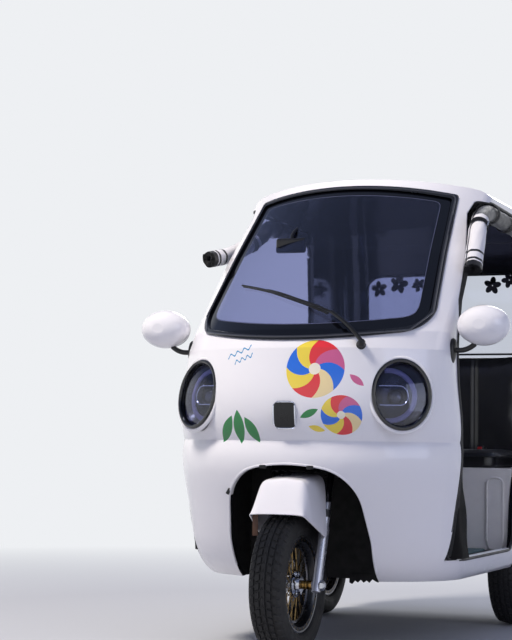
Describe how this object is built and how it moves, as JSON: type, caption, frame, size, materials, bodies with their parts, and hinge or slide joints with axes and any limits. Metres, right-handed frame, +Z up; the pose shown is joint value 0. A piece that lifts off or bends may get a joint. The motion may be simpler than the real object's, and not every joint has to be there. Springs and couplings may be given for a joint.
{
  "type": "three wheeled car",
  "caption": "Small electric three wheeled passenger car with a rounded white moulded cab, raked windscreen, open sides, one steered front wheel and a rear bench.",
  "frame": {"origin": "on the floor, midway along the length and on the centre plane", "axes": "+Z up, the nose points to -Y, +X is the vehicle's left side"},
  "size_m": [1.3802, 2.26, 1.7019],
  "materials": {
    "gloss_white": "gloss",
    "fender_white": "gloss",
    "black_rubber": "matt",
    "tinted_glass": "clear",
    "lamp_black": "gloss",
    "lamp_lens": "clear",
    "tail_red": "gloss",
    "black_plastic": "matt",
    "grey_plastic": "satin",
    "black_vinyl": "satin",
    "mat": "matt",
    "stainless": "brushed",
    "black_steel": "satin",
    "silver_fork": "satin",
    "black_alloy": "satin",
    "tyre": "matt",
    "curtain_white": "satin",
    "curtain_black": "matt",
    "battery_grey": "matt"
  },
  "bodies": {
    "body": {"front_shell": "gloss_white", "roof_panel": "gloss_white", "rear_body": "gloss_white", "rear_upper_panel": "gloss_white", "windscreen": "tinted_glass", "windscreen_gasket": "black_rubber", "rear_window": "tinted_glass", "headlamp_left": "lamp_black", "headlamp_right": "lamp_black", "headlamp_lenses": "lamp_lens", "emblem_plate": "lamp_black", "tail_lamps": "tail_red", "rear_bumper": "black_plastic", "arch_liner": "black_plastic", "dashboard": "black_plastic", "floor_pan": "black_steel", "floor_mat": "mat", "sill_plates": "stainless", "driver_seat_base": "grey_plastic", "driver_seat_cushion": "black_vinyl", "driver_seat_back": "black_vinyl", "bench_base": "grey_plastic", "bench_cushion": "black_vinyl", "bench_back": "black_vinyl", "chassis_frame": "black_steel", "rear_frame": "black_steel", "battery_pack": "battery_grey", "rear_axle": "black_steel", "drive_motor": "black_steel", "leaf_springs": "black_steel", "mirror_shells": "gloss_white", "mirror_stalks": "black_plastic", "curtain_roll_left": "curtain_white", "curtain_roll_right": "curtain_white", "zip_strips": "curtain_black", "wiper": "black_plastic"},
    "steering": {"front_fork": "silver_fork", "handlebar": "black_steel", "front_fender": "fender_white"},
    "front_wheel_body": {"front_wheel": "black_alloy", "front_tyre": "tyre"},
    "rear_left_body": {"rear_left_wheel": "black_alloy", "rear_left_tyre": "tyre"},
    "rear_right_body": {"rear_right_wheel": "black_alloy", "rear_right_tyre": "tyre"}
  },
  "joints": [
    {"name": "steering", "type": "hinge", "parent": "body", "child": "steering", "pos_m": [0, -0.87651, 0.23145], "axis": [0, 0.342, 0.9397], "range_deg": [-40, 40]},
    {"name": "front_wheel_spin", "type": "hinge", "parent": "steering", "child": "front_wheel_body", "pos_m": [0, -0.9, 0.24], "axis": [1, 0, 0], "continuous": true},
    {"name": "rear_left_wheel_spin", "type": "hinge", "parent": "body", "child": "rear_left_body", "pos_m": [0.421, 0.558, 0.24], "axis": [1, 0, 0], "continuous": true},
    {"name": "rear_right_wheel_spin", "type": "hinge", "parent": "body", "child": "rear_right_body", "pos_m": [-0.421, 0.558, 0.24], "axis": [1, 0, 0], "continuous": true}
  ]
}
